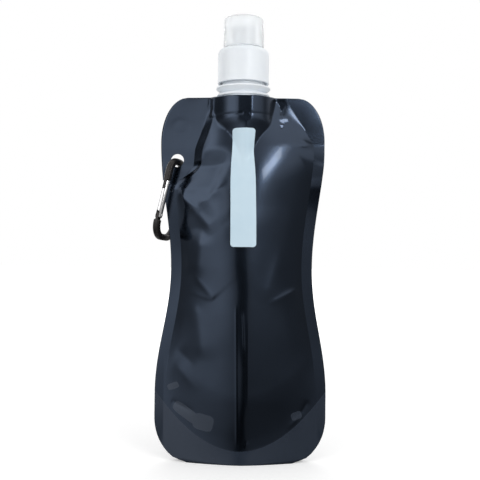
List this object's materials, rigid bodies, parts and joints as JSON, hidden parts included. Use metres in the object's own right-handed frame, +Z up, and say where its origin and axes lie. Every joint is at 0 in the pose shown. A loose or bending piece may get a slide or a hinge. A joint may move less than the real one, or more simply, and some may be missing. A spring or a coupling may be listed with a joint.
{
  "type": "foldable water pouch",
  "caption": "Foldable film water pouch with a stand-up bottom fold, push-pull screw cap with clear dust cap, blank label and a snap hook in its ear.",
  "frame": {"origin": "on the ground under the middle of the spout, at the centre of the pouch's footprint", "axes": "+Z up along the pouch and its spout, -Y out of the front with the label, +X to the right seen from the front; the hook hangs on the -X side"},
  "size_m": [0.1029, 0.0358, 0.263],
  "materials": {
    "film": "satin blue-black laminated film",
    "label": "satin pale blue-grey sticker",
    "white_plastic": "moulded white plastic",
    "clear_plastic": "hazy clear plastic",
    "liner_foam": "soft foam",
    "black_anodised": "black anodised",
    "gate_metal": "bright polished",
    "steel": "bright drawn"
  },
  "bodies": {
    "pouch": {"front_film": "film", "back_film": "film", "gusset_film": "film", "front_label": "label", "spout": "white_plastic"},
    "liner": {"cap_liner": "liner_foam"},
    "cap": {"screw_cap": "white_plastic"},
    "nozzle": {"pull_nozzle": "white_plastic"},
    "dust_cap": {"dust_cap": "clear_plastic"},
    "hook": {"carabiner_frame": "black_anodised", "gate_rivet": "steel"},
    "gate": {"carabiner_gate": "gate_metal", "latch_pin": "steel", "gate_spring": "steel"},
    "plunger": {"gate_plunger": "steel"}
  },
  "joints": [
    {"name": "cap_lift", "type": "slide", "parent": "pouch", "child": "liner", "axis": [0, 0, 1], "range_m": [0, 0.00477]},
    {"name": "cap_turn", "type": "hinge", "parent": "liner", "child": "cap", "pos_m": [0, 0, 0.2411], "axis": [0, 0, 1], "range_deg": [0, 540]},
    {"name": "nozzle_pull", "type": "slide", "parent": "cap", "child": "nozzle", "axis": [0, 0, 1], "range_m": [0, 0.003]},
    {"name": "dust_cap_pull", "type": "slide", "parent": "cap", "child": "dust_cap", "axis": [0, 0, 1], "range_m": [0, 0.03]},
    {"name": "hook_swing", "type": "hinge", "parent": "pouch", "child": "hook", "pos_m": [-0.0387, 0, 0.1776], "axis": [0, 1, 0], "range_deg": [0, 110]},
    {"name": "gate_open", "type": "hinge", "parent": "hook", "child": "gate", "pos_m": [-0.04848, -0.00965, 0.14571], "axis": [-0.9065, 0.3907, 0.1598], "range_deg": [0, 12], "stiffness_Nm_per_rad": 0.01, "springref_deg": -11.46},
    {"name": "plunger_slide", "type": "slide", "parent": "gate", "child": "plunger", "axis": [0.2129, 0.0962, 0.9723], "range_m": [0, 0.0004], "deforming": ["gate_spring"]}
  ],
  "couplings": [
    {"joint": "cap_turn", "follows": "cap_lift", "rad_per_m": 1975.8},
    {"joint": "plunger_slide", "follows": "gate_open", "m_per_rad": 0.00149}
  ]
}
